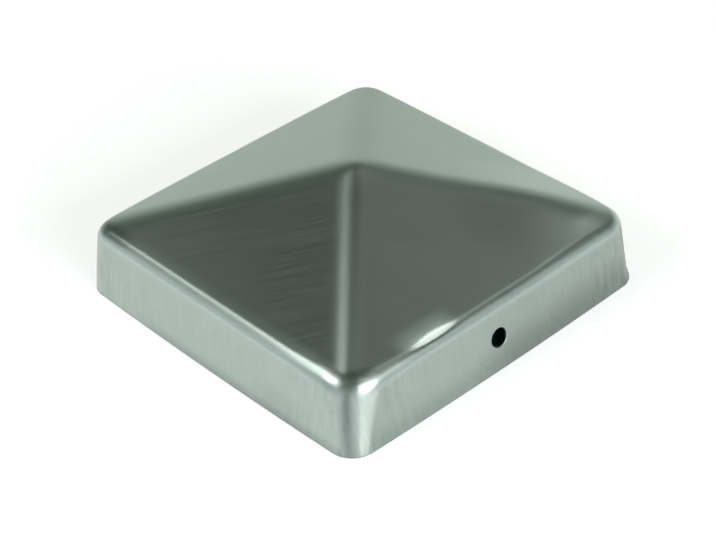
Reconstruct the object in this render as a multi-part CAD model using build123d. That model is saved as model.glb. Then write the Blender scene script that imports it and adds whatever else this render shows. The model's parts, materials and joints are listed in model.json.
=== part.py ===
from build123d import *
from math import cos, radians, tan
import os

# Pyramid cap for a square timber post, pressed from one blank of stainless sheet.
# Millimetres and degrees. The origin is the middle of the rim's plane, +Z points up to the tip,
# and the two sides that carry a screw hole face +X and -X.

# Post that goes into the cap
post_width = 90.0
post_play = 0.5  # free room on each side, where the end of the post seats

# Sheet
sheet = 1.0

# Skirt
skirt_height = 17.25  # rim to the sharp line of the fold
skirt_lean = 5.95  # each side opens out by this angle towards the rim
corner_radius = 6.1  # outer face
rim_break = 0.2  # bevel that takes the sharpness off the sheared rim

# Roof
roof_pitch = 20.8  # slope of each of the four faces
fold_radius = 3.2  # outer face, between skirt and roof
ridge_radius = 9.0  # outer face, along the four ridges and over the tip

# Screw holes, punched straight through two opposite sides
hole_diameter = 5.3
hole_height = 8.5  # rim to the middle of the hole
hole_shift = -0.85  # from the middle of the side, along Y

lean = radians(skirt_lean)
pitch = radians(roof_pitch)

# The post seats where the flat of the skirt ends under the fold, and the rim is wider by the lean.
fold_turn = radians(90.0 - skirt_lean - roof_pitch)
fold_run = fold_radius * tan(fold_turn / 2)
seat_height = skirt_height - fold_run * cos(lean)
rim_half = post_width / 2 + post_play + sheet / cos(lean) + seat_height * tan(lean)

# Sharp tip, where the four roof faces would meet if the ridges were not rounded
fold_half = rim_half - skirt_height * tan(lean)
tip_height = skirt_height + fold_half * tan(pitch)

# Both skins are drawn on below the rim, so that the rim is one clean cut.
trim = 2 * sheet


def skirt_block(inset):
    """Leaning four-sided block with round corners, the given depth under the skirt's outer face."""
    foot_side = 2 * (rim_half + trim * tan(lean) - inset / cos(lean))
    foot = Pos(0, 0, -trim) * Rectangle(foot_side, foot_side)
    block = extrude(foot, trim + tip_height, dir=(0, 0, 1), taper=skirt_lean)
    uprights = [edge for edge in block.edges() if edge.bounding_box().size.Z > trim]
    return fillet(uprights, corner_radius - inset)


def roof_block(inset):
    """Four-sided roof with round ridges, the given depth under the roof's outer face.

    Growing a sharp core pyramid by a ball rounds the ridges and the tip, and a smaller ball
    gives the skin further in, so the sheet keeps its thickness round every bend.
    """
    core_tip = tip_height - ridge_radius / cos(pitch)
    core_foot = -trim - 2 * ridge_radius
    core_side = 2 * (core_tip - core_foot) / tan(pitch)
    foot = Pos(0, 0, core_foot) * Rectangle(core_side, core_side)
    core = Solid.make_loft([foot.face().outer_wire(), Vertex(0, 0, core_tip)], ruled=True)
    return offset(core, amount=ridge_radius - inset, kind=Kind.ARC)


def skin(inset):
    """Solid that fills the cap out to a skin the given depth under its outer face."""
    body = skirt_block(inset) & roof_block(inset)
    lowest = skirt_height / 2
    highest = (skirt_height + tip_height) / 2
    boxes = [(edge, edge.bounding_box()) for edge in body.edges()]
    folds = [edge for edge, box in boxes if box.min.Z > lowest and box.max.Z < highest]
    return fillet(folds, fold_radius - inset)


def post_cap():
    """The pressed cap: sheet between the two skins, trimmed at the rim and punched."""
    shell = split(skin(0) - skin(sheet), bisect_by=Plane.XY, keep=Keep.TOP)
    rim = shell.edges().group_by(Axis.Z)[0]
    trimmed = chamfer(rim, rim_break)
    punch_axis = Pos(0, hole_shift, hole_height) * Rot(0, 90, 0)
    punch = punch_axis * Cylinder(hole_diameter / 2, 3 * rim_half)
    return trimmed - punch


os.makedirs("parts", exist_ok=True)
export_step(post_cap(), "parts/post_cap.step")
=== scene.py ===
import json
import logging
from dataclasses import dataclass
from enum import Enum
from math import cos, pi, radians, sin, tan

import bmesh
import bpy
import numpy as np
from mathutils import Matrix, Vector


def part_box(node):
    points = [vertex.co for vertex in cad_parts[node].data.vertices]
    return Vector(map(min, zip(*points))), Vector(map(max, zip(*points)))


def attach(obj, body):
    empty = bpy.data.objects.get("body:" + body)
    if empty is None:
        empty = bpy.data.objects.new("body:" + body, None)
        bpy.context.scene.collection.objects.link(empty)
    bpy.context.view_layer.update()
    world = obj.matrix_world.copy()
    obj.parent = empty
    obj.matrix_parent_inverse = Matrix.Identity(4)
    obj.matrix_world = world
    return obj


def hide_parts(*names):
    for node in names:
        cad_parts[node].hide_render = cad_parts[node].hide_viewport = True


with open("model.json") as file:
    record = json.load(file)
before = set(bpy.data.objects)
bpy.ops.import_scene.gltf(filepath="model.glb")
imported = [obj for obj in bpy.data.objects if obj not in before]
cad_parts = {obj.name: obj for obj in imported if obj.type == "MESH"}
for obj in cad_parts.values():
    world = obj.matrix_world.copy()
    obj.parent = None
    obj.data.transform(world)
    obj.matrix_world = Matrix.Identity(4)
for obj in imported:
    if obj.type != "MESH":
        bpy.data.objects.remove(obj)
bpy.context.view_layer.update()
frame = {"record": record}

# Lengths are in millimetres and angles in degrees up to the point where a mesh, lamp or camera
# is handed to Blender, which works in metres and radians.
MM = 0.001

# Width of the photograph in pixels, the unit of the camera's focal length
PHOTO_WIDTH = 716

# Length that counts as nothing
TINY = 1e-6

log = logging.getLogger("post_cap")


class Side(Enum):
    """The two sides that carry a screw hole, by the sign of X that they face."""

    RIGHT = 1
    LEFT = -1


def linear(hex_code: str) -> tuple[float, float, float, float]:
    """Turns an sRGB hex colour into the linear colour that shaders take.

    Args:
        hex_code: Colour as six hex digits, such as "B2BEB9".

    Returns:
        Red, green, blue and alpha, each from 0 to 1.
    """
    channels = [int(hex_code[i : i + 2], 16) / 255 for i in (0, 2, 4)]
    straight = [c / 12.92 if c <= 0.04045 else ((c + 0.055) / 1.055) ** 2.4 for c in channels]
    return (*straight, 1.0)


def add_node(tree: bpy.types.NodeTree, kind: str, inputs: dict | None = None, **settings) -> bpy.types.Node:
    """Adds a node to a shader tree, with its settings, values and links.

    Args:
        tree: Tree that takes the node.
        kind: Blender's name for the node type.
        inputs: For each input, a value to set or the output socket to link to it.
        **settings: Properties of the node itself.

    Returns:
        The new node.
    """
    node = tree.nodes.new(kind)
    for name, value in settings.items():
        setattr(node, name, value)
    for name, value in (inputs or {}).items():
        if isinstance(value, bpy.types.NodeSocket):
            tree.links.new(value, node.inputs[name])
        else:
            node.inputs[name].default_value = value
    return node


def calculate(tree: bpy.types.NodeTree, operation: str, *values) -> bpy.types.NodeSocket:
    """Adds a node that works out one number from others.

    Args:
        tree: Tree that takes the node.
        operation: Blender's name for the calculation.
        *values: Numbers, or output sockets that give them.

    Returns:
        The socket that gives the result.
    """
    node = add_node(tree, "ShaderNodeMath", dict(enumerate(values)), operation=operation)
    return node.outputs["Value"]


def calculate_vector(tree: bpy.types.NodeTree, operation: str, *values) -> bpy.types.NodeSocket:
    """Adds a node that works out one vector from others.

    Args:
        tree: Tree that takes the node.
        operation: Blender's name for the calculation.
        *values: Vectors, or output sockets that give them.

    Returns:
        The socket that gives the result.
    """
    node = add_node(tree, "ShaderNodeVectorMath", dict(enumerate(values)), operation=operation)
    return node.outputs["Vector"]


def smooth_step(value: np.ndarray) -> np.ndarray:
    """Runs smoothly from 0 to 1 as the value does, and stays flat outside."""
    held = np.clip(value, 0.0, 1.0)
    return held * held * (3 - 2 * held)


def ramp(value: np.ndarray, start: float, end: float) -> np.ndarray:
    """Runs smoothly from 0 at the start to 1 at the end, which may be the lower of the two."""
    return smooth_step((value - start) / (end - start))


def hump(value: np.ndarray, middle: float, width: float) -> np.ndarray:
    """Runs smoothly up to 1 in the middle and down again, over about the given width each side."""
    return np.exp(-(((value - middle) / width) ** 2))


def blend(pair: tuple[float, float], share: np.ndarray) -> np.ndarray:
    """Starts at the pair's first number and changes by its second as the share goes from 0 to 1."""
    return pair[0] + pair[1] * share


def soft_max(first: np.ndarray, second: np.ndarray, width: float) -> np.ndarray:
    """Larger of two values, with the change from one to the other rounded over about the given width."""
    return (first + second + np.sqrt((first - second) ** 2 + width**2)) / 2


def soft_abs(value: np.ndarray, half_width: float) -> np.ndarray:
    """Absolute value whose point is rounded over half_width each side, with even curvature at the ends."""
    share = value / half_width
    rounded = half_width * (0.375 + 0.75 * share**2 - 0.125 * share**4)
    return np.where(np.abs(share) < 1, rounded, np.abs(value))


@dataclass(frozen=True)
class PressedForm:
    """Shape of the pressed sheet, given as how far a point lies outside one of its skins.

    Attributes:
        rim_half: Half the width over the outer face at the rim, at the ends of a side.
        sheet: Thickness.
        skirt_height: Rim to the sharp line of the fold.
        skirt_lean: Angle by which each side opens out towards the rim, at its ends.
        rim_bow: How far the rim stands out further in the middle of a side.
        left_bow: How far the fold of the -X side stands out further in its middle. The folds of the
            sides that face +X and -Y are straight.
        left_bow_power: Power of that bow, which is fuller towards the corners the higher it is.
        back_bow: How far the fold of the +Y side stands out further in its middle.
        back_bow_power: Power of that bow.
        back_skew: How much more it stands out towards the end at +X.
        corner_radius: Outer radius of the four upright corners.
        roof_pitch: Slope of the four faces.
        fold_radius: Outer radius of the bend between skirt and roof.
        fold_growth: How much larger that radius is at the corner at +X and -Y.
        growth_stretch: Distances from the middle, along X and -Y, between which it grows.
        ridge_half_width: Half the width over which a ridge is rounded.
        tip_half_width: Half the width over which the tip is rounded.
        corner_growth: For corners that are rounder or sharper higher up, the signs of X and Y, the
            growth of the radius and the height over the rim at which it is complete.
        knock_depth: Depth of the flat that a knock has left on the fold of the +X side.
        knock_middle: Y of its middle.
        knock_half: Half its length.
        knock_rise: Angle over the floor that the flat faces.
        knock_edge: Width over which the edge of the flat is softened.
        swell_height: Height by which the ridge at +X and +Y stands up near its lower end.
        swell_middle: X and Y of the top of that swell.
        swell_reach: Distance from there to where it fades out.
    """

    # Times that the stretch a ray may end in is halved, which finds the skin far finer than a micron
    HALVINGS = 40

    rim_half: float
    sheet: float = 1.0
    skirt_height: float = 17.23
    skirt_lean: float = 5.95
    rim_bow: float = 0.69
    left_bow: float = 1.2
    left_bow_power: int = 4
    back_bow: float = 0.95
    back_bow_power: int = 8
    back_skew: float = 0.25
    corner_radius: float = 6.07
    roof_pitch: float = 20.8
    fold_radius: float = 4.3
    fold_growth: float = 2.4
    growth_stretch: tuple[float, float] = (24.0, 44.0)
    ridge_half_width: float = 6.0
    tip_half_width: float = 3.0
    corner_growth: tuple[tuple[int, int, float, float], ...] = (
        (1, -1, 4.0, 17.2),
        (1, 1, 1.0, 3.0),
        (-1, -1, -0.4, 8.0),
    )
    knock_depth: float = 0.16
    knock_middle: float = -18.5
    knock_half: float = 8.8
    knock_rise: float = 60.0
    knock_edge: float = 0.08
    swell_height: float = 1.1
    swell_middle: float = 30.0
    swell_reach: float = 24.0

    @property
    def lean(self) -> float:
        """Lean of the skirt in radians."""
        return radians(self.skirt_lean)

    @property
    def pitch(self) -> float:
        """Pitch of the roof in radians."""
        return radians(self.roof_pitch)

    @property
    def fold_half(self) -> float:
        """Half the width at the sharp line of the fold."""
        return self.rim_half - self.skirt_height * tan(self.lean)

    @property
    def tip_height(self) -> float:
        """Height at which the four faces would meet if nothing were rounded."""
        return self.skirt_height + self.fold_half * tan(self.pitch)

    def fold_line(self, x: np.ndarray, y: np.ndarray) -> tuple[np.ndarray, np.ndarray]:
        """Finds how far the sharp line of the fold lies out, at places in plan.

        Args:
            x: Places along X.
            y: Places along Y.

        Returns:
            Distances from the middle, along X for the side nearest in X and along Y for the other.
        """
        on_left = np.clip(y / self.fold_half, -1, 1)
        on_back = np.clip(x / self.fold_half, -1, 1)
        left = self.left_bow * (1 - on_left**self.left_bow_power)
        back = (self.back_bow + self.back_skew * on_back) * (1 - on_back**self.back_bow_power)
        return self.fold_half + np.where(x < 0, left, 0), self.fold_half + np.where(y > 0, back, 0)

    def side_slopes(self, x: np.ndarray, y: np.ndarray) -> tuple[np.ndarray, np.ndarray]:
        """Finds how fast the sides open out towards the rim, at places in plan.

        Args:
            x: Places along X.
            y: Places along Y.

        Returns:
            Run over rise of the side nearest in X and of the one nearest in Y.
        """
        line_x, line_y = self.fold_line(x, y)
        rim_x = self.rim_half + self.rim_bow * (1 - (y / self.rim_half) ** 2)
        rim_y = self.rim_half + self.rim_bow * (1 - (x / self.rim_half) ** 2)
        return (rim_x - line_x) / self.skirt_height, (rim_y - line_y) / self.skirt_height

    def lean_at(self, x: np.ndarray, y: np.ndarray) -> np.ndarray:
        """Lean in radians of the side nearest to a place in plan."""
        over_x, over_y = self.side_slopes(x, y)
        return np.arctan(np.where(np.abs(x) > np.abs(y), over_x, over_y))

    def knock_place(self, x: np.ndarray, z: np.ndarray) -> tuple[np.ndarray, np.ndarray]:
        """Measures places from the outermost point of the +X fold, in the direction the flat faces.

        Args:
            x: Places along X.
            z: Heights over the rim.

        Returns:
            How far out each place is, and how far down along the flat.
        """
        rise = radians(self.knock_rise)
        slope = self.side_slopes(np.array(self.fold_half), np.array(self.knock_middle))[0]
        lean = float(np.arctan(slope))
        half_turn = (pi / 2 - lean - self.pitch) / 2
        to_middle = self.fold_radius / cos(half_turn)
        inward = self.pitch + half_turn
        middle_x = self.fold_half - to_middle * sin(inward)
        middle_z = self.skirt_height - to_middle * cos(inward)
        out = (x - middle_x) * cos(rise) + (z - middle_z) * sin(rise) - self.fold_radius
        down = (x - middle_x) * sin(rise) - (z - middle_z) * cos(rise)
        return out, down

    def knock_share(self, y: np.ndarray) -> np.ndarray:
        """How deep the flat is at a place along the side, where 1 is its depth in the middle."""
        return 1 - ((y - self.knock_middle) / self.knock_half) ** 2

    def swell(self, x: np.ndarray, y: np.ndarray) -> np.ndarray:
        """Height of the swell on the ridge at +X and +Y, at a place in plan."""
        away = np.hypot(x - self.swell_middle, y - self.swell_middle)
        return self.swell_height * smooth_step(1 - away / self.swell_reach)

    def skirt_gap(self, x: np.ndarray, y: np.ndarray, z: np.ndarray, inset: np.ndarray) -> np.ndarray:
        """Distance of points outside the skirt's skin.

        Args:
            x: Places along X.
            y: Places along Y.
            z: Heights over the rim.
            inset: Depth of the skin under the outer face.

        Returns:
            Distances, negative inside.
        """
        radius = self.corner_radius - inset
        for sign_x, sign_y, growth, height in self.corner_growth:
            radius = radius + growth * smooth_step(z / height) * (sign_x * x > 0) * (sign_y * y > 0)
        line_x, line_y = self.fold_line(x, y)
        over_x, over_y = self.side_slopes(x, y)
        drop = self.skirt_height - z
        past_x = np.abs(x) - line_x - drop * over_x + inset * np.hypot(1, over_x) + radius
        past_y = np.abs(y) - line_y - drop * over_y + inset * np.hypot(1, over_y) + radius
        round_part = np.hypot(np.maximum(past_x, 0), np.maximum(past_y, 0))
        flat_part = np.minimum(np.maximum(past_x, past_y), 0)
        return (round_part + flat_part - radius) * np.cos(self.lean_at(x, y))

    def roof_height(self, x: np.ndarray, y: np.ndarray, inset: np.ndarray) -> np.ndarray:
        """Height of the roof's skin.

        Args:
            x: Places along X.
            y: Places along Y.
            inset: Depth of the skin under the outer face.

        Returns:
            Heights over the rim.
        """
        along_x = soft_abs(x, self.tip_half_width)
        along_y = soft_abs(y, self.tip_half_width)
        across_ridge = (along_x - along_y) / 2**0.5
        out = (along_x + along_y) / 2 + soft_abs(across_ridge, self.ridge_half_width) / 2**0.5
        flat = self.tip_height - inset / cos(self.pitch) - tan(self.pitch) * out
        return flat + self.swell(x, y)

    def gap(self, points: np.ndarray, inset: np.ndarray) -> np.ndarray:
        """Distance of points outside a skin, with the fold rounded between skirt and roof.

        Args:
            points: Places, three numbers each.
            inset: Depth of the skin under the outer face, one for each point.

        Returns:
            Distances, negative inside.
        """
        x, y, z = points[..., 0], points[..., 1], points[..., 2]
        skirt = self.skirt_gap(x, y, z, inset)
        roof = (z - self.roof_height(x, y, inset)) * cos(self.pitch)
        growth = self.fold_growth * ramp(x, *self.growth_stretch) * ramp(-y, *self.growth_stretch)
        radius = self.fold_radius + growth - inset
        turn_cos = np.sin(self.pitch + self.lean_at(x, y))
        a, b = skirt + radius, roof + radius
        in_bend = (a > b * turn_cos) & (b > a * turn_cos) & (a > 0) & (b > 0)
        arc = np.sqrt(np.maximum(a * a + b * b - 2 * a * b * turn_cos, 0) / (1 - turn_cos**2)) - radius
        bent = np.where(in_bend, arc, np.maximum(skirt, roof))
        out, _ = self.knock_place(x, z)
        flat = out + inset + self.knock_depth * self.knock_share(y)
        beside = (x < 0) | (np.abs(y) > x)
        return np.where(beside, bent, soft_max(bent, flat, self.knock_edge))

    def reach(self, origin: np.ndarray, heading: np.ndarray, inset: np.ndarray) -> np.ndarray:
        """Follows rays from inside the cap out to a skin.

        Args:
            origin: Starts of the rays, three numbers each.
            heading: Unit directions, three numbers each.
            inset: Depth of the skin under the outer face, one for each ray.

        Returns:
            The places where the rays meet the skin.
        """
        near = np.zeros(inset.shape)
        far = np.full(inset.shape, self.rim_half / 2)
        for _ in range(self.HALVINGS):
            middle = (near + far) / 2
            outside = self.gap(origin + heading * middle[..., None], inset) > 0
            far = np.where(outside, middle, far)
            near = np.where(outside, near, middle)
        return origin + heading * near[..., None]


@dataclass(frozen=True)
class BrushedStainless:
    """Stainless steel sheet, brushed on a belt before it was pressed.

    The belt leaves fine straight scratches one way across the blank, so a highlight is drawn out across them
    and stays narrow along them. Pressing leaves upright draw marks on the skirt, and handling leaves faint
    clouds. Painted shade darkens a band round each corner and parts of the skirt and its rim. Painted
    highlights brighten the fold over the -Y side, a ridge, a knock, a patch and a band beside each corner.

    Attributes:
        colour: Reflection of the clean metal.
        cloud_colour: Reflection in the cloudy patches.
        roughness: Spread of the highlight.
        pull: How far the scratches draw it out, from 0 to 1.
        grain_width: Spacing of the scratches, drawn coarser than the real 0.05 so that they show.
        grain_length: Length of a scratch.
        grain_crispness: Strength of the finest scratches next to the broad ones, from 0 to 1.
        grain_tone: How far the scratches lighten and darken the metal.
        grain_spread: How far the scratches raise and lower the roughness.
        scratch_depth: Depth of a scratch.
        scratch_strength: Share of that depth that turns the light.
        draw_width: Spacing of the draw marks on the skirt.
        draw_length: Length of a draw mark.
        draw_tone: How far the draw marks lighten and darken the metal.
        cloud_size: Size of the cloudy patches.
        painted_light_tone: Share of the reflection that painted shade takes away where it is strongest.
            Where the painted value is below 0, the same share is added as painted highlight.
        burnish: Share of the roughness that is lost where a knock has burnished the metal.
    """

    # Fine layers in each noise, and the part of its range that nearly all of it lies in
    NOISE_DETAIL = 3.0
    NOISE_LOW = 0.3
    NOISE_HIGH = 0.7

    colour: str = "B0BBB6"
    cloud_colour: str = "A9B4AF"
    roughness: float = 0.34
    pull: float = 0.62
    grain_width: float = 0.3
    grain_length: float = 24.0
    grain_crispness: float = 0.6
    grain_tone: float = 0.035
    grain_spread: float = 0.03
    scratch_depth: float = 0.02
    scratch_strength: float = 0.05
    draw_width: float = 1.1
    draw_length: float = 18.0
    draw_tone: float = 0.08
    cloud_size: float = 11.0
    painted_light_tone: float = 0.5
    burnish: float = 0.6

    def material(self) -> bpy.types.Material:
        """Makes the shader.

        Returns:
            The material.
        """
        # Gives the eye a satin grey metal that mirrors the room as soft bands, drawn out across the
        # scratches.
        made = bpy.data.materials.new("brushed_stainless")
        made.use_nodes = True
        tree = made.node_tree
        tree.nodes.clear()
        blank = add_node(tree, "ShaderNodeUVMap", uv_map=PostCap.BLANK_MAP)
        grain_scale = (PostCap.MAP_UNIT / self.grain_width, PostCap.MAP_UNIT / self.grain_length, 1)
        grain_place = add_node(
            tree, "ShaderNodeMapping", {"Vector": blank.outputs["UV"], "Scale": grain_scale}
        )
        grain = add_node(
            tree,
            "ShaderNodeTexNoise",
            {
                "Vector": grain_place.outputs["Vector"],
                "Scale": 1.0,
                "Detail": self.NOISE_DETAIL,
                "Roughness": self.grain_crispness,
            },
            noise_dimensions="2D",
        )
        smoothest, roughest = self.roughness - self.grain_spread, self.roughness + self.grain_spread
        spread = self.ranged(tree, grain.outputs["Fac"], smoothest, roughest)
        knocked = add_node(tree, "ShaderNodeAttribute", attribute_name=PostCap.KNOCKED)
        kept = add_node(
            tree,
            "ShaderNodeMapRange",
            {"Value": knocked.outputs["Fac"], "To Min": 1.0, "To Max": 1 - self.burnish},
        )
        scratch = add_node(
            tree,
            "ShaderNodeBump",
            {
                "Height": grain.outputs["Fac"],
                "Strength": self.scratch_strength,
                "Distance": self.scratch_depth * MM,
            },
        )
        across = add_node(tree, "ShaderNodeTangent", direction_type="UV_MAP", uv_map=PostCap.BLANK_MAP)
        steel = add_node(
            tree,
            "ShaderNodeBsdfPrincipled",
            {
                "Base Color": self.tint(tree, grain.outputs["Fac"]),
                "Metallic": 1.0,
                "Roughness": calculate(tree, "MULTIPLY", spread, kept.outputs["Result"]),
                "Anisotropic": self.pull,
                "Normal": scratch.outputs["Normal"],
                "Tangent": across.outputs["Tangent"],
            },
        )
        add_node(tree, "ShaderNodeOutputMaterial", {"Surface": steel.outputs["BSDF"]})
        return made

    def ranged(
        self, tree: bpy.types.NodeTree, noise: bpy.types.NodeSocket, low: float, high: float
    ) -> bpy.types.NodeSocket:
        """Stretches the middle of a noise over a range of values.

        Args:
            tree: Tree that takes the node.
            noise: The noise.
            low: Value where the noise is low.
            high: Value where it is high.

        Returns:
            The values.
        """
        before = {"Value": noise, "From Min": self.NOISE_LOW, "From Max": self.NOISE_HIGH}
        after = {"To Min": low, "To Max": high}
        return add_node(tree, "ShaderNodeMapRange", before | after).outputs["Result"]

    def tint(self, tree: bpy.types.NodeTree, grain: bpy.types.NodeSocket) -> bpy.types.NodeSocket:
        """Lays clouds, scratches, draw marks, and painted shade and highlights, over the metal's colour.

        Args:
            tree: Tree that takes the nodes.
            grain: The pattern of the scratches.

        Returns:
            The colour.
        """
        place = add_node(tree, "ShaderNodeTexCoord").outputs["Object"]
        clouds = add_node(
            tree,
            "ShaderNodeTexNoise",
            {"Vector": place, "Scale": 1 / (self.cloud_size * MM), "Detail": self.NOISE_DETAIL},
        )
        base = add_node(
            tree,
            "ShaderNodeMix",
            {"Factor": clouds.outputs["Fac"], "A": linear(self.colour), "B": linear(self.cloud_colour)},
            data_type="RGBA",
        )
        across, along = 1 / (self.draw_width * MM), 1 / (self.draw_length * MM)
        upright = (across, across, along)
        mark_place = add_node(tree, "ShaderNodeMapping", {"Vector": place, "Scale": upright})
        marks = add_node(
            tree,
            "ShaderNodeTexNoise",
            {"Vector": mark_place.outputs["Vector"], "Scale": 1.0, "Detail": self.NOISE_DETAIL},
        )
        drawn = add_node(tree, "ShaderNodeAttribute", attribute_name=PostCap.DRAWN).outputs["Fac"]
        # Painted shade and highlight carried by the mesh, which darken and brighten the metal's colour
        painted_light = add_node(tree, "ShaderNodeAttribute", attribute_name=PostCap.PAINTED_LIGHT).outputs["Fac"]
        mark = self.ranged(tree, marks.outputs["Fac"], -self.draw_tone, self.draw_tone)
        line = self.ranged(tree, grain, 1 - self.grain_tone, 1 + self.grain_tone)
        with_marks = calculate(tree, "MULTIPLY_ADD", mark, drawn, line)
        level = calculate(tree, "MULTIPLY_ADD", painted_light, -self.painted_light_tone, with_marks)
        toned = add_node(tree, "ShaderNodeHueSaturation", {"Color": base.outputs["Result"], "Value": level})
        return toned.outputs["Color"]


@dataclass(frozen=True)
class PressMarksAndPaintedLight:
    """Draw marks and dull places that pressing has left on the skirt.

    Painted shade is 0 for the metal's own colour and 1 for the darkest, and below 0 it is painted highlight.
    A drop is a share of the skirt's height, counted down from the fold. A stretch is a pair of places:
    something begins at the first and is complete at the second. A place is a middle and a half width.

    Attributes:
        form: Shape that the marks lie on.
        below_fold: Stretch down from the fold's line over which all marks begin.
        least_drawn: Share of the draw marks that is left in the middle of a side.
        drawn_stretch: Stretch, as distances from a corner, over which they grow to the full.
        skirt_painted_shade: Dullness all over the skirt.
        far_stretch: Stretch along Y from the near part of the +X side to its far part.
        right_painted_shade: Dullness of the +X side near, and how much more it is far.
        right_foot: Further dullness at that side's foot near, and how much more it is far.
        right_foot_begins: Drop at which the foot begins near, and its change to the far part.
        right_foot_ends: Drop at which the foot is complete.
        left_foot: Dullness at the foot of the -Y side.
        left_foot_drop: Stretch, as drops, over which that begins.
        left_foot_stretch: Stretch along X over which it begins.
        left_patch: Dullness of a patch on the -Y side.
        left_patch_drop: Stretch, as drops, over which the patch begins.
        left_patch_place: Place of the patch along X.
        side_fade: Depth under a side's face at which its own dullness has faded out.
        bend: Dullness where the sheet began to bend round a corner, at the fold, and its change to the rim.
        bend_place: Place of that band, in degrees round the corner.
        shine: How much brighter the band beside it is.
        shine_place: Place of the bright band, in degrees round the corner.
        rim: Dullness of the sheared rim.
        rim_height: Height at which that has faded out.
    """

    form: PressedForm
    below_fold: tuple[float, float] = (0.5, 3.5)
    least_drawn: float = 0.3
    drawn_stretch: tuple[float, float] = (28.0, 6.0)
    skirt_painted_shade: float = 0.09
    far_stretch: tuple[float, float] = (-14.0, 10.0)
    right_painted_shade: tuple[float, float] = (0.1, 0.14)
    right_foot: tuple[float, float] = (0.33, 0.27)
    right_foot_begins: tuple[float, float] = (0.55, -0.3)
    right_foot_ends: float = 0.95
    left_foot: float = 0.5
    left_foot_drop: tuple[float, float] = (0.8, 0.98)
    left_foot_stretch: tuple[float, float] = (-32.0, -16.0)
    left_patch: float = 0.2
    left_patch_drop: tuple[float, float] = (0.45, 0.75)
    left_patch_place: tuple[float, float] = (24.0, 10.0)
    side_fade: float = 1.5
    bend: tuple[float, float] = (0.9, -0.3)
    bend_place: tuple[float, float] = (54.0, 14.0)
    shine: float = 0.3
    shine_place: tuple[float, float] = (26.0, 12.0)
    rim: float = 0.6
    rim_height: float = 1.2

    def on_skirt(self, z: np.ndarray) -> np.ndarray:
        """Share of the marks that shows at a height over the rim, 0 on the roof and 1 on the skirt."""
        begins, full = self.below_fold
        return ramp(z, self.form.skirt_height - begins, self.form.skirt_height - full)

    def drawn(self, points: np.ndarray) -> np.ndarray:
        """Finds how strongly the metal is drawn.

        Args:
            points: Places on the cap.

        Returns:
            For each place, the strength of the draw marks, from 0 to 1.
        """
        x, y, z = points.T
        from_corner = self.form.rim_half - np.minimum(np.abs(x), np.abs(y))
        growth = (1 - self.least_drawn) * ramp(from_corner, *self.drawn_stretch)
        return self.on_skirt(z) * (self.least_drawn + growth)

    def corner_turn(self, points: np.ndarray) -> np.ndarray:
        """Finds how far round a corner each place is.

        Args:
            points: Places on the cap.

        Returns:
            Degrees round the nearest corner, from 0 where it ends to 90 where it begins, clockwise
            from above.
        """
        form = self.form
        x, y, z = points.T
        turned = np.where(x * y < 0, np.abs(x) - np.abs(y), np.abs(y) - np.abs(x))
        ahead = (np.abs(x) + np.abs(y) + turned) / 2
        behind = (np.abs(x) + np.abs(y) - turned) / 2
        core = form.fold_half - form.corner_radius + (form.skirt_height - z) * tan(form.lean)
        return np.degrees(np.arctan2(np.maximum(behind - core, 0), np.maximum(ahead - core, TINY)))

    def sides(self, points: np.ndarray) -> np.ndarray:
        """Finds how much darker the two sides that face the camera are by themselves: painted shade on the
        +X side, and a darker foot and patch on the -Y side.

        Returns:
            For each place, its painted shade.
        """
        x, y, z = points.T
        drop = 1 - z / self.form.skirt_height
        far = ramp(y, *self.far_stretch)
        foot = ramp(drop, blend(self.right_foot_begins, far), self.right_foot_ends)
        # Painted shade on the +X side, where it mirrors floor in the cap's shadow, stronger at the far end
        # and at the foot
        right = blend(self.right_painted_shade, far) + blend(self.right_foot, far) * foot
        # Darker towards the foot of the -Y side at its -X end, and in a patch
        left = self.left_foot * ramp(drop, *self.left_foot_drop) * ramp(x, *self.left_foot_stretch)
        patch = self.left_patch * ramp(drop, *self.left_patch_drop) * hump(x, *self.left_patch_place)
        face = self.form.fold_half
        on_right, on_left = ramp(x, face - self.side_fade, face), ramp(-y, face - self.side_fade, face)
        return np.maximum(right * on_right, (left + patch) * on_left)

    def painted_light_on_skirt(self, points: np.ndarray) -> np.ndarray:
        """Finds the painted shade and highlight laid on the skirt and the rim.

        Returns:
            For each place, its painted shade, which is painted highlight below 0.
        """
        z = points[:, 2]
        turn = self.corner_turn(points)
        # Painted shade: a dark band round each corner, standing for the dark room that it mirrors
        bend = hump(turn, *self.bend_place) * blend(self.bend, 1 - z / self.form.skirt_height)
        # Painted highlight: a bright band beside it, for a lamp that the corner mirrors
        shine = self.shine * hump(turn, *self.shine_place)
        # Painted shade over the whole skirt, which darkens the floor that it mirrors
        skirt = np.maximum(self.sides(points), bend) - shine + self.skirt_painted_shade
        # Painted shade along the rim's foot, where it meets the floor
        return np.maximum(self.on_skirt(z) * skirt, self.rim * ramp(z, self.rim_height, 0))


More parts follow.
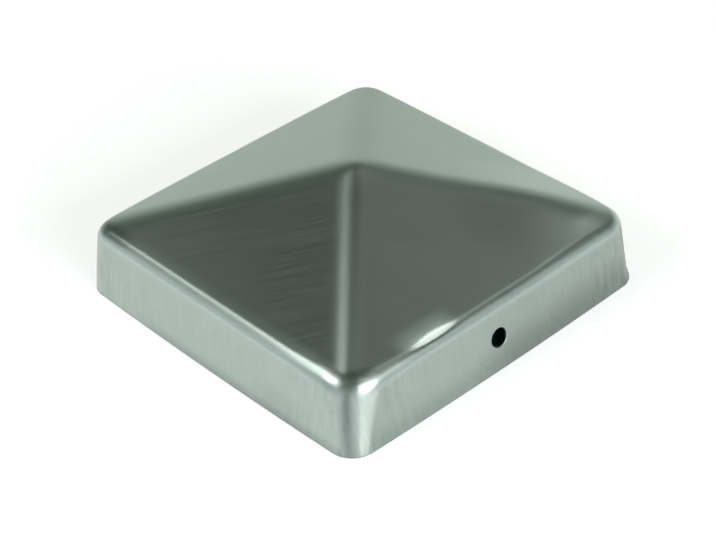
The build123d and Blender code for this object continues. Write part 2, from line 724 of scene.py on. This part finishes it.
@dataclass(frozen=True)
class PaintedSheenAndBurnish:
    """Places that handling has rubbed bright, and the flat that a knock has burnished.

    Shine is painted highlight and is taken off the painted shade, so below 0 it paints shade. Stretches and
    places are given as they are for the press marks.

    Attributes:
        form: Shape that the marks lie on.
        fold_rise: Height below the fold's line from which the shine of the -Y fold rises.
        fold_depth: Stretch along -Y over which it begins.
        fold_shine: Shine of that fold, and how much more there is towards +X.
        fold_shine_stretch: Stretch along X over which it grows.
        fold_begins: Stretch along X over which the shine begins.
        fold_end_painted_shade: Dullness of the fold's other end.
        fold_end_stretch: Stretch along X, towards -X, over which that begins.
        ridge_width: Half the width of the shine on the ridge at +X and -Y.
        ridge_begins: Stretch, as distances from the tip, over which it begins.
        ridge_shine: How much more shine the ridge's foot has than its top.
        ridge_length: Distance from the tip to the foot.
        ridge_top_painted_shade: Dullness of the ridge's top.
        knock_near: Distance from the fold's face within which a place belongs to the knock.
        knock_shine: Shine of the metal over the flat.
        knock_shine_begins: Stretch up the flat from its middle, down being above 0, over which it begins.
        knock_fade_start: Distance above the middle from which it fades.
        knock_fade: Distance over which it fades.
        knock_shine_shift: How far the shine lies from the flat's middle, along -Y.
        knock_spill: How far it goes on past the flat's ends, as a share of the flat's depth.
        burnish_edge: Stretch, as shares of the flat's depth, over which its edge is burnished.
        patch_shine: Shine of the patch beside the corner at +X and +Y.
        patch_x: Place of the patch along X.
        patch_y: Place of the patch along Y.
    """

    form: PressedForm
    fold_rise: float = 0.9
    fold_depth: tuple[float, float] = (41.0, 43.0)
    fold_shine: tuple[float, float] = (0.3, 0.9)
    fold_shine_stretch: tuple[float, float] = (5.0, 35.0)
    fold_begins: tuple[float, float] = (-36.0, -28.0)
    fold_end_painted_shade: float = 0.7
    fold_end_stretch: tuple[float, float] = (-30.0, -37.0)
    ridge_width: float = 4.2
    ridge_begins: tuple[float, float] = (2.0, 10.0)
    ridge_shine: float = 1.35
    ridge_length: float = 60.0
    ridge_top_painted_shade: float = 0.55
    knock_near: float = 1.0
    knock_shine: float = 2.6
    knock_shine_begins: tuple[float, float] = (0.0, -1.2)
    knock_fade_start: float = 0.8
    knock_fade: float = 4.5
    knock_shine_shift: float = 1.5
    knock_spill: float = 0.3
    burnish_edge: tuple[float, float] = (-0.1, 0.8)
    patch_shine: float = 1.3
    patch_x: tuple[float, float] = (41.5, 2.2)
    patch_y: tuple[float, float] = (36.0, 5.5)

    def on_fold(self, points: np.ndarray) -> np.ndarray:
        """Finds the painted highlight on the fold over the -Y side, and the painted shade at its -X end.

        Args:
            points: Places on the cap.

        Returns:
            For each place, its shine.
        """
        x, y, z = points.T
        line = self.form.skirt_height
        on_bend = ramp(z, line - self.fold_rise, line) * ramp(-y, *self.fold_depth)
        shine = blend(self.fold_shine, ramp(x, *self.fold_shine_stretch))
        bright = on_bend * shine * ramp(x, *self.fold_begins)
        return bright - self.fold_end_painted_shade * on_bend * ramp(x, *self.fold_end_stretch)

    def on_ridge(self, points: np.ndarray) -> np.ndarray:
        """Finds the painted highlight on the ridge that runs down to the corner at +X and -Y, dimmer at its
        top.

        Args:
            points: Places on the cap.

        Returns:
            For each place, its shine.
        """
        x, y, z = points.T
        from_tip = (x - y) / 2**0.5
        near = hump(x + y, 0, self.ridge_width) * ramp(from_tip, *self.ridge_begins)
        near = near * (x > 0) * (z > self.form.skirt_height)
        return near * (self.ridge_shine * np.clip(from_tip / self.ridge_length, 0, 1) - self.ridge_top_painted_shade)

    def over_knock(self, points: np.ndarray) -> np.ndarray:
        """Finds where the painted highlight over the knock lies.

        Args:
            points: Places on the cap.

        Returns:
            For each place, how strong that painted highlight is, from 0 to 1.
        """
        x, y, z = points.T
        out, down = self.form.knock_place(x, z)
        faded = np.clip(1 + (down + self.knock_fade_start) / self.knock_fade, 0, 1)
        above = ramp(down, *self.knock_shine_begins) * faded * (out > -self.knock_near)
        share = self.form.knock_share(y + self.knock_shine_shift)
        along = smooth_step((share + self.knock_spill) / (1 + self.knock_spill))
        return above * along * (x > np.abs(y))

    def shine(self, points: np.ndarray) -> np.ndarray:
        """Finds the painted highlight on the -Y fold, the ridge, the knock and the patch.

        Returns:
            For each place, its shine.
        """
        x, y, z = points.T
        # Painted highlight of a patch on the roof beside the corner at +X and +Y
        patch = hump(x, *self.patch_x) * hump(y, *self.patch_y) * (z > self.form.skirt_height)
        knock = self.knock_shine * self.over_knock(points)
        return self.on_fold(points) + self.on_ridge(points) + knock + self.patch_shine * patch

    def burnished(self, points: np.ndarray) -> np.ndarray:
        """Finds how far the knock has burnished the metal.

        Args:
            points: Places on the cap.

        Returns:
            For each place, how far it is burnished, from 0 to 1.
        """
        form = self.form
        x, y, z = points.T
        out, down = form.knock_place(x, z)
        depth = form.knock_share(y) - down**2 / (2 * form.fold_radius * form.knock_depth)
        return ramp(depth, *self.burnish_edge) * (np.abs(out) < self.knock_near)


@dataclass
class PostCap:
    """The cap's visible mesh: outer skin, rim, inner skin and the walls of the screw holes.

    Attributes:
        form: Shape that the mesh follows.
        hole_middle: Y and Z of the screw holes, which are punched straight along X.
        hole_radius: Radius of the screw holes.
        roof_cells: Cells of the roof's grid from its middle to a side.
        corner_cells: Cells of a side that lie in the half corner at each of its ends.
        arc_inset: Depth under the fold's sharp line of the points that the fold is swept about.
        rim_round: Radius that takes the sharpness off the sheared rim.
        hole_roll: Radius of the edge that the punch has drawn in, which lies inside the hole's size.
        hole_bevel: Bevel of the hole's inner edge.
        hole_margin: How far outside the hole the inner skin's first ring lies.
        hole_block: Side of the square block of mesh that is closed down to a hole.
        hole_start: Depth behind the rim's face from which rays go out to the wall of a hole.
    """

    # Map of the flat blank, and the millimetres that one unit of it stands for
    BLANK_MAP = "blank"
    MAP_UNIT = 100.0

    # Marks that the metal's shader reads from the mesh
    DRAWN = "drawn"
    PAINTED_LIGHT = "painted_light"
    # Painted shade and highlight, one value for each point of the mesh
    KNOCKED = "knocked"

    # Rows of the mesh: tilts over the fold from the roof to the skirt, how many cross the block round
    # a hole, heights from there to the rim, and turns round the rim's edge
    FOLD_TILTS = (82, 75, 69, *range(65, 25, -3), 22, 16, 8, 0)
    BLOCK_ROWS = 11
    FOOT_LEVELS = (3.3, 2.5, 1.7, 1.0, 0.5)
    RIM_TURNS = (0, 22.5, 45, 67.5, 90)

    # Rings of a hole: shares of the way from the block to its edge, turns round the drawn edge, and
    # depths along its wall
    CLOSING_SHARES = (0.3, 0.6, 0.85)
    HOLE_TURNS = (0, 18, 36, 54, 72, 90)
    WALL_DEPTHS = (0.55, 0.75, 0.93)

    form: PressedForm
    hole_middle: tuple[float, float]
    hole_radius: float
    roof_cells: int = 60
    corner_cells: int = 13
    arc_inset: float = 4.8
    rim_round: float = 0.22
    hole_roll: float = 0.25
    hole_bevel: float = 0.02
    hole_margin: float = 0.1
    hole_block: float = 7.6
    hole_start: float = 12.0

    def side_points(self) -> tuple[np.ndarray, np.ndarray]:
        """Lays points along the side that faces +X, half corners included.

        Returns:
            Places in plan, and unit directions out of the side, of a loop under the fold.
        """
        radius = self.form.corner_radius - self.arc_inset
        flat_half = self.form.fold_half - self.arc_inset - radius
        turn = np.linspace(-pi / 4, 0, self.corner_cells + 1)
        out = np.stack([np.cos(turn), np.sin(turn)], -1)
        corner = np.array([flat_half, -flat_half]) + radius * out
        flat_cells = 2 * (self.roof_cells - self.corner_cells)
        along = np.linspace(-flat_half, flat_half, flat_cells + 1)[1:-1]
        flat = np.stack([np.full(along.shape, flat_half + radius), along], -1)
        flat_out = np.tile([1.0, 0.0], (len(along), 1))
        mirror = np.array([1.0, -1.0])
        places = np.concatenate([corner, flat, corner[::-1] * mirror])
        headings = np.concatenate([out, flat_out, out[::-1] * mirror])
        return places, headings

    def loop(self) -> tuple[np.ndarray, np.ndarray]:
        """Lays points round all four sides, from the corner at +X and -Y, counter-clockwise.

        Returns:
            Places in plan, and unit directions outward.
        """
        places, headings = self.side_points()
        turned_places, turned_headings = [], []
        for quarter in range(4):
            c, s = round(cos(quarter * pi / 2)), round(sin(quarter * pi / 2))
            turn = np.array([[c, s], [-s, c]])
            turned_places.append(places[:-1] @ turn)
            turned_headings.append(headings[:-1] @ turn)
        return np.concatenate(turned_places), np.concatenate(turned_headings)

    def roof_plan(self) -> np.ndarray:
        """Spreads a square grid over the roof inside the loop.

        Returns:
            Places in plan, by row and column of the grid.
        """
        cells = self.roof_cells
        side, _ = self.side_points()
        share = np.linspace(-1, 1, len(side))
        i, j = np.meshgrid(np.arange(-cells, cells + 1), np.arange(-cells, cells + 1), indexing="ij")
        ring = np.maximum(np.abs(i), np.abs(j))
        plan = np.zeros((*i.shape, 2))
        for quarter in range(4):
            c, s = round(cos(quarter * pi / 2)), round(sin(quarter * pi / 2))
            ahead, across = c * i + s * j, -s * i + c * j
            mine = (ahead == ring) & (ring > 0)
            f = across[mine] / ring[mine]
            local = np.stack([np.interp(f, share, side[:, 0]), np.interp(f, share, side[:, 1])], -1)
            local *= (ring[mine] / cells)[:, None]
            plan[mine] = local @ np.array([[c, s], [-s, c]])
        return plan

    def rows(self) -> list[tuple[float, float, float]]:
        """Lists the rows from the roof over the fold, down the skirt, round the rim and back up inside.

        Returns:
            For each row the height of its rays, their tilt and the depth of the skin they go to.
        """
        form = self.form
        start = form.skirt_height - self.arc_inset
        fold = [(start, float(tilt)) for tilt in self.FOLD_TILTS]
        skirt = [(float(z), 0.0) for z in (*self.block_levels(), *self.FOOT_LEVELS)]
        outer = [(z, tilt, 0.0) for z, tilt in fold + skirt]
        inner = [(z, tilt, form.sheet) for z, tilt, _ in reversed(outer)]
        r = self.rim_round
        bend = [radians(turn) for turn in self.RIM_TURNS]
        outer_edge = [(r - r * sin(a), 0.0, r - r * cos(a)) for a in bend]
        inner_edge = [(z, tilt, form.sheet - inset) for z, tilt, inset in reversed(outer_edge)]
        return outer + outer_edge + inner_edge + inner

    def block_levels(self) -> np.ndarray:
        """Heights of the rows that run through the block of mesh round a screw hole, from the top."""
        half = self.hole_block / 2
        return np.linspace(self.hole_middle[1] + half, self.hole_middle[1] - half, self.BLOCK_ROWS)

    def build(self) -> bpy.types.Object:
        """Builds the mesh and makes it an object.

        Returns:
            The object, which rides on no body yet.
        """
        form = self.form
        places, headings = self.loop()
        count = len(places)
        height, degrees, depth = np.array(self.rows()).T[..., None]
        tilt = np.radians(degrees)
        inset = np.repeat(depth, count, 1)
        shape = inset.shape
        origin = np.stack([np.broadcast_to(v, shape) for v in (places[:, 0], places[:, 1], height)], -1)
        heading = np.stack(
            [
                np.cos(tilt) * headings[:, 0],
                np.cos(tilt) * headings[:, 1],
                np.broadcast_to(np.sin(tilt), shape),
            ],
            -1,
        )
        band = form.reach(origin, heading, inset)
        plan = self.roof_plan()
        cells = plan.shape[:2]
        below = np.concatenate([plan, np.full((*cells, 1), form.skirt_height - self.arc_inset)], -1)
        straight_up = np.broadcast_to(np.array([0.0, 0.0, 1.0]), below.shape)
        roofs = [form.reach(below, straight_up, np.full(cells, skin)) for skin in (0.0, form.sheet)]

        vertices = [roofs[0].reshape(-1, 3), roofs[1].reshape(-1, 3), band.reshape(-1, 3)]
        grid = np.arange(cells[0] * cells[1]).reshape(cells)
        lower_grid = grid + grid.size
        band_ids = 2 * grid.size + np.arange(band.shape[0] * count).reshape(shape)
        strip = np.concatenate([self.edge_of(grid)[None], band_ids, self.edge_of(lower_grid)[None]])

        keep = np.ones((strip.shape[0] - 1, count), bool)
        next_id = 2 * grid.size + band_ids.size
        quads = [self.quads_of(grid), self.quads_of(lower_grid)[:, ::-1]]
        for side in Side:
            outer_loop, inner_loop = self.hole_loops(side, strip, band, keep)
            ring_places = self.hole_rings(side, band.reshape(-1, 3)[outer_loop - 2 * grid.size])
            ring_count, ring_length = ring_places.shape[:2]
            ring_ids = next_id + np.arange(ring_count * ring_length).reshape(ring_count, ring_length)
            next_id += ring_ids.size
            vertices.append(ring_places.reshape(-1, 3))
            quads.append(self.round_quads(np.concatenate([outer_loop[None], ring_ids, inner_loop[None]])))
        quads.append(self.round_quads(strip)[keep.reshape(-1)])
        return self.mesh_object(np.concatenate(vertices), np.concatenate(quads))

    @staticmethod
    def edge_of(grid: np.ndarray) -> np.ndarray:
        """Reads the ids round the edge of a square grid, in the loop's order."""
        return np.concatenate([grid[-1, :-1], grid[:0:-1, -1], grid[0, :0:-1], grid[:-1, 0]])

    @staticmethod
    def quads_of(grid: np.ndarray) -> np.ndarray:
        """Joins the ids of a grid into quads."""
        corners = [grid[:-1, :-1], grid[1:, :-1], grid[1:, 1:], grid[:-1, 1:]]
        return np.stack([corner.reshape(-1) for corner in corners], -1)

    @staticmethod
    def round_quads(strip: np.ndarray) -> np.ndarray:
        """Joins the ids of rows that close on themselves into quads, row by row."""
        after = np.roll(strip, -1, 1)
        corners = [strip[:-1], strip[1:], after[1:], after[:-1]]
        return np.stack([corner.reshape(-1) for corner in corners], -1)

    def hole_loops(
        self, side: Side, strip: np.ndarray, band: np.ndarray, keep: np.ndarray
    ) -> tuple[np.ndarray, np.ndarray]:
        """Opens a block in both skins for a screw hole.

        Args:
            side: Side that the hole is in.
            strip: Ids by row and place round the loop.
            band: Places of the strip's rows between the roofs.
            keep: Marks the strip's quads that stay, and is changed here.

        Returns:
            Ids round the block in the outer skin and in the inner one.
        """
        cells = self.roof_cells
        first = 0 if side is Side.RIGHT else 4 * cells
        columns = np.arange(first, first + 2 * cells + 1)
        y = band[0, columns % strip.shape[1], 1]
        half = self.hole_block / 2
        ends = [int(np.argmin(np.abs(y - self.hole_middle[0] - d))) for d in (-half, half)]
        left, right = columns[min(ends)], columns[max(ends)]
        heights, tilts, insets = np.array(self.rows()).T
        levels = self.block_levels()
        in_reach = (heights <= levels[0] + TINY) & (heights >= levels[-1] - TINY)
        loops = []
        for depth in (0.0, self.form.sheet):
            found = np.flatnonzero((insets == depth) & (tilts == 0) & in_reach) + 1
            top, bottom = (found[0], found[-1]) if depth == 0 else (found[-1], found[0])
            low, high = min(top, bottom), max(top, bottom)
            keep[low:high, left:right] = False
            step = 1 if bottom > top else -1
            down = np.arange(top, bottom, step)
            up = down[::-1] + step
            loops.append(
                np.concatenate(
                    [
                        strip[down, left],
                        strip[bottom, left:right],
                        strip[up, right],
                        strip[top, right:left:-1],
                    ]
                )
            )
        return loops[0], loops[1]

    def hole_rings(self, side: Side, block: np.ndarray) -> np.ndarray:
        """Closes a block down to the round hole, and goes through it to the inner skin.

        Args:
            side: Side that the hole is in.
            block: Places round the block in the outer skin.

        Returns:
            Places by ring and place round the ring.
        """
        form = self.form
        y, z = self.hole_middle
        angle = np.arctan2(block[:, 2] - z, block[:, 1] - y)
        out = np.stack([np.cos(angle), np.sin(angle)], -1)
        reach = np.hypot(block[:, 1] - y, block[:, 2] - z)
        roll = self.hole_roll
        r = self.hole_radius - roll
        rings = [(share, 0.0, 0.0) for share in self.CLOSING_SHARES]
        for turn in self.HOLE_TURNS:
            a = radians(turn)
            rings.append((1.0, roll - roll * sin(a), roll - roll * cos(a)))
        rings += [(1.0, 0.0, depth) for depth in self.WALL_DEPTHS]
        rings += [(1.0, self.hole_bevel, form.sheet - self.hole_bevel), (1.0, self.hole_margin, form.sheet)]
        rings += [(share, 0.0, form.sheet) for share in reversed(self.CLOSING_SHARES)]
        made = []
        for share, widen, depth in rings:
            radius = reach + share * (r + roll - reach) if share < 1 else np.full(reach.shape, r + widen)
            origin = np.stack(
                [
                    np.full(reach.shape, side.value * (form.rim_half - self.hole_start)),
                    y + radius * out[:, 0],
                    z + radius * out[:, 1],
                ],
                -1,
            )
            heading = np.broadcast_to(np.array([side.value, 0.0, 0.0]), origin.shape)
            made.append(form.reach(origin, heading, np.full(reach.shape, depth)))
        return np.stack(made)

    def unfold(self, points: np.ndarray) -> np.ndarray:
        """Lays the cap flat again, as the blank that it was pressed from.

        Args:
            points: Places on the cap.

        Returns:
            For each place, where it was across the belt's scratches and along them.
        """
        form = self.form
        core = form.fold_half - form.corner_radius
        past = points[:, :2] - np.clip(points[:, :2], -core, core)
        length = np.maximum(np.linalg.norm(past, axis=1), TINY)
        drop = np.maximum(form.skirt_height - points[:, 2], 0)
        flat = points[:, :2] + past / length[:, None] * drop[:, None]
        across = (flat[:, 1] - flat[:, 0]) / 2**0.5
        along = (flat[:, 1] + flat[:, 0]) / 2**0.5
        return np.stack([across, along], -1)

    def marks_and_painted_light(self, points: np.ndarray) -> dict[str, np.ndarray]:
        """Finds where pressing and handling have marked the metal.

        Args:
            points: Places on the cap.

        Returns:
            For each place, how strongly it is drawn, its painted shade, which below 0 is painted highlight,
            and how far a knock has burnished it.
        """
        pressed, painted_sheen = PressMarksAndPaintedLight(self.form), PaintedSheenAndBurnish(self.form)
        # Painted shade less painted highlight
        painted_light = pressed.painted_light_on_skirt(points) - painted_sheen.shine(points)
        return {self.DRAWN: pressed.drawn(points), self.PAINTED_LIGHT: painted_light, self.KNOCKED: painted_sheen.burnished(points)}

    def mesh_object(self, vertices: np.ndarray, quads: np.ndarray) -> bpy.types.Object:
        """Makes the object, with outward faces, the map of the blank and the marks on the metal.

        Args:
            vertices: Places in millimetres.
            quads: Ids of each face's corners.

        Returns:
            The object.
        """
        mesh = bpy.data.meshes.new("pressed_cap")
        mesh.from_pydata((vertices * MM).tolist(), [], quads.tolist())
        work = bmesh.new()
        work.from_mesh(mesh)
        bmesh.ops.recalc_face_normals(work, faces=work.faces)
        work.to_mesh(mesh)
        work.free()
        mesh.shade_smooth()
        blank = mesh.uv_layers.new(name=self.BLANK_MAP)
        corner_ids = np.empty(len(mesh.loops), int)
        mesh.loops.foreach_get("vertex_index", corner_ids)
        flat = self.unfold(vertices) / self.MAP_UNIT
        blank.data.foreach_set("uv", flat[corner_ids].reshape(-1))
        for name, amount in self.marks_and_painted_light(vertices).items():
            marks = mesh.attributes.new(name, "FLOAT", "POINT")
            marks.data.foreach_set("value", amount.astype(np.float32))
        made = bpy.data.objects.new("pressed_cap", mesh)
        bpy.context.collection.objects.link(made)
        return made

    def dress(self, piece: bpy.types.Object, finish: BrushedStainless) -> None:
        """Gives the object its metal and its place in the frame.

        Args:
            piece: The cap's object.
            finish: The metal.
        """
        piece.data.materials.append(finish.material())
        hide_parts("post_cap")
        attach(piece, "root")


@dataclass(frozen=True)
class SoftBox:
    """One soft studio lamp that faces the cap.

    Attributes:
        name: What the lamp does.
        azimuth: Direction from the cap in plan, counter-clockwise from +X.
        elevation: Direction from the cap over the floor.
        distance: Distance from the cap.
        width: Width of the lit cloth.
        height: Height of the lit cloth.
        brightness: Brightness of the lit cloth, where 1 is white.
    """

    name: str
    azimuth: float
    elevation: float
    distance: float
    width: float
    height: float
    brightness: float

    def place(self) -> bpy.types.Object:
        """Sets the lamp up.

        Returns:
            The lamp's object.
        """
        a, e = radians(self.azimuth), radians(self.elevation)
        out = Vector((cos(a) * cos(e), sin(a) * cos(e), sin(e)))
        lamp = bpy.data.lights.new(self.name, "AREA")
        lamp.shape = "RECTANGLE"
        lamp.size = self.width * MM
        lamp.size_y = self.height * MM
        lamp.energy = self.brightness * pi * lamp.size * lamp.size_y
        made = bpy.data.objects.new(self.name, lamp)
        made.location = out * self.distance * MM
        made.rotation_euler = out.to_track_quat("Z", "Y").to_euler()
        bpy.context.collection.objects.link(made)
        return made


@dataclass(frozen=True)
class Studio:
    """Pale floor, soft lamps and a room that is dark overhead and pale near the floor.

    Attributes:
        floor_size: Width of the floor.
        floor_colour: Colour of the floor.
        floor_roughness: Spread of what the floor mirrors.
        floor_lift: Share of white that the floor shows by itself.
        covered_half: Half the width of the floor that the cap covers, which shows no white by itself.
        covered_radius: Radius of the corners of that part of the floor.
        overhead: Colour of the room straight up.
        horizon: Colour of the room near the floor, behind the cap.
        front_horizon: Colour of the room near the floor, beside the cap and in front of it.
        dark_stretch: Sines of the angles over the floor between which the room grows dark.
        behind_stretch: Shares of the direction behind the cap between which the horizon changes.
    """

    floor_size: float = 8000.0
    floor_colour: str = "F4F4F4"
    floor_roughness: float = 0.08
    floor_lift: float = 0.62
    covered_half: float = 47.3
    covered_radius: float = 5.4
    overhead: str = "213319"
    horizon: str = "E9F6EA"
    front_horizon: str = "DAE6E5"
    dark_stretch: tuple[float, float] = (0.08, 0.61)
    behind_stretch: tuple[float, float] = (0.3, 1.2)

    def floor(self) -> bpy.types.Object:
        """Lays the floor.

        Returns:
            The floor's object.
        """
        half = self.floor_size * MM / 2
        mesh = bpy.data.meshes.new("studio_floor")
        corners = [(-half, -half, 0), (half, -half, 0), (half, half, 0), (-half, half, 0)]
        mesh.from_pydata(corners, [], [(0, 1, 2, 3)])
        made = bpy.data.objects.new("studio_floor", mesh)
        bpy.context.collection.objects.link(made)
        mesh.materials.append(self.board())
        return made

    def board(self) -> bpy.types.Material:
        """Makes the floor's shader.

        Returns:
            The material.
        """
        # Gives the eye an even white ground that fades into the white behind and faintly mirrors the cap.
        made = bpy.data.materials.new("lacquered_white_board")
        made.use_nodes = True
        tree = made.node_tree
        tree.nodes.clear()
        path = add_node(tree, "ShaderNodeLightPath").outputs
        seen = calculate(tree, "MAXIMUM", path["Is Camera Ray"], path["Is Glossy Ray"])
        seen = calculate(tree, "MAXIMUM", seen, path["Is Transmission Ray"])
        place = add_node(tree, "ShaderNodeNewGeometry").outputs["Position"]
        core = (self.covered_half - self.covered_radius) * MM
        past = calculate_vector(tree, "SUBTRACT", calculate_vector(tree, "ABSOLUTE", place), (core, core, 0))
        past = calculate_vector(tree, "MAXIMUM", past, (0, 0, 0))
        away = add_node(tree, "ShaderNodeVectorMath", {0: past}, operation="LENGTH").outputs["Value"]
        beside = calculate(tree, "GREATER_THAN", away, self.covered_radius * MM)
        lift = calculate(tree, "MULTIPLY", seen, calculate(tree, "MULTIPLY", beside, self.floor_lift))
        lacquer = add_node(
            tree,
            "ShaderNodeBsdfPrincipled",
            {"Base Color": linear(self.floor_colour), "Roughness": self.floor_roughness},
        )
        glow = add_node(tree, "ShaderNodeEmission", {"Strength": lift})
        both = add_node(
            tree, "ShaderNodeAddShader", {0: lacquer.outputs["BSDF"], 1: glow.outputs["Emission"]}
        )
        add_node(tree, "ShaderNodeOutputMaterial", {"Surface": both.outputs["Shader"]})
        return made

    def room(self) -> None:
        """Sets the world: pale near the floor, dark overhead."""
        world = bpy.data.worlds.new("studio_room")
        world.use_nodes = True
        tree = world.node_tree
        tree.nodes.clear()
        place = add_node(tree, "ShaderNodeTexCoord")
        parts = add_node(tree, "ShaderNodeSeparateXYZ", {"Vector": place.outputs["Generated"]})
        begins, full = self.dark_stretch
        rise = add_node(
            tree,
            "ShaderNodeMapRange",
            {"Value": parts.outputs["Z"], "From Min": begins, "From Max": full},
            interpolation_type="SMOOTHSTEP",
        )
        back = calculate(tree, "SUBTRACT", parts.outputs["Y"], parts.outputs["X"])
        begins, full = self.behind_stretch
        behind = add_node(tree, "ShaderNodeMapRange", {"Value": back, "From Min": begins, "From Max": full})
        low = add_node(
            tree,
            "ShaderNodeMix",
            {"Factor": behind.outputs["Result"], "A": linear(self.front_horizon), "B": linear(self.horizon)},
            data_type="RGBA",
        )
        tone = add_node(
            tree,
            "ShaderNodeMix",
            {"Factor": rise.outputs["Result"], "A": low.outputs["Result"], "B": linear(self.overhead)},
            data_type="RGBA",
        )
        air = add_node(tree, "ShaderNodeBackground", {"Color": tone.outputs["Result"]})
        add_node(tree, "ShaderNodeOutputWorld", {"Surface": air.outputs["Background"]})
        bpy.context.scene.world = world

    def lamps(self) -> list[bpy.types.Object]:
        """Sets up the soft lamps.

        Returns:
            Their objects.
        """
        # Name, azimuth, elevation, distance, width, height and brightness
        boxes = [
            SoftBox("left_front_softbox", -106, 38, 1250, 700, 400, 3.6),
            SoftBox("left_strip", -148, 42, 1250, 330, 140, 1.6),
            SoftBox("left_spot", -144, 47, 1250, 170, 120, 5.6),
            SoftBox("left_wall", -132, 15, 1300, 900, 440, 0.30),
            SoftBox("right_softbox", -5, 22, 1200, 800, 420, 7.0),
            SoftBox("side_spot", 61, 53.5, 1250, 210, 190, 2.1),
            SoftBox("ridge_lamp", 176.5, 67, 1250, 200, 160, 3.8),
            SoftBox("ceiling_panel", 133, 63, 1300, 600, 500, 0.24),
            SoftBox("right_ceiling", 104, 54, 1300, 700, 540, 0.265),
            SoftBox("back_wall", 116, 6, 1300, 500, 220, 0.15),
        ]
        return [box.place() for box in boxes]


@dataclass(frozen=True)
class Viewpoint:
    """The camera, at the photograph's viewing angle.

    Attributes:
        focal_pixels: Focal length in pixels of the photograph.
        sensor_width: Width of the camera's sensor, as wide as the photograph.
        azimuth: Direction of the camera from the cap in plan, counter-clockwise from -Y.
        elevation: Height of the camera over the floor, as an angle.
        roll: Turn of the camera about its line of sight.
        distance: Distance along the line of sight from the rim's middle.
        aside: How far the line of sight passes the rim's middle, to its right and over it.
    """

    focal_pixels: float = 2031.5
    sensor_width: float = 36.0
    azimuth: float = 48.608
    elevation: float = 36.531
    roll: float = -3.069
    distance: float = 495.56
    aside: tuple[float, float] = (-0.809, 2.468)

    def place(self) -> bpy.types.Object:
        """Sets the camera up.

        Returns:
            The camera's object.
        """
        a, e, r = radians(self.azimuth), radians(self.elevation), radians(self.roll)
        back = Vector((sin(a) * cos(e), -cos(a) * cos(e), sin(e)))
        level = Vector((cos(a), sin(a), 0.0))
        upright = back.cross(level)
        right = cos(r) * level + sin(r) * upright
        up = cos(r) * upright - sin(r) * level
        lens = bpy.data.cameras.new("photo_camera")
        lens.sensor_width = self.sensor_width
        lens.lens = self.focal_pixels * self.sensor_width / PHOTO_WIDTH
        made = bpy.data.objects.new("photo_camera", lens)
        turn = Matrix((right, up, back)).transposed().to_4x4()
        spot = (self.distance * back + self.aside[0] * right + self.aside[1] * up) * MM
        made.matrix_world = Matrix.Translation(spot) @ turn
        bpy.context.collection.objects.link(made)
        bpy.context.scene.camera = made
        return made


def main() -> None:
    """Builds the cap, the studio and the camera, and logs the counts of faces and lamps."""
    logging.basicConfig(level=logging.INFO, format="%(message)s")
    bpy.context.scene.view_settings.view_transform = "Standard"
    low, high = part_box("post_cap")
    holes = [mount for mount in frame["record"]["mounts"] if mount["kind"] == "bore"]
    hole_place = holes[0]["pos_m"]
    form = PressedForm(rim_half=(high[0] - low[0]) / 2 / MM - PressedForm.rim_bow / 2)
    cap = PostCap(
        form=form,
        hole_middle=(hole_place[1] / MM, hole_place[2] / MM),
        hole_radius=holes[0]["dims"]["r_mm"],
    )
    piece = cap.build()
    cap.dress(piece, BrushedStainless())
    log.info("pressed cap: %d faces", len(piece.data.polygons))
    studio = Studio()
    studio.floor()
    studio.room()
    log.info("studio: %d lamps", len(studio.lamps()))
    Viewpoint().place()


if __name__ == "__main__":
    main()
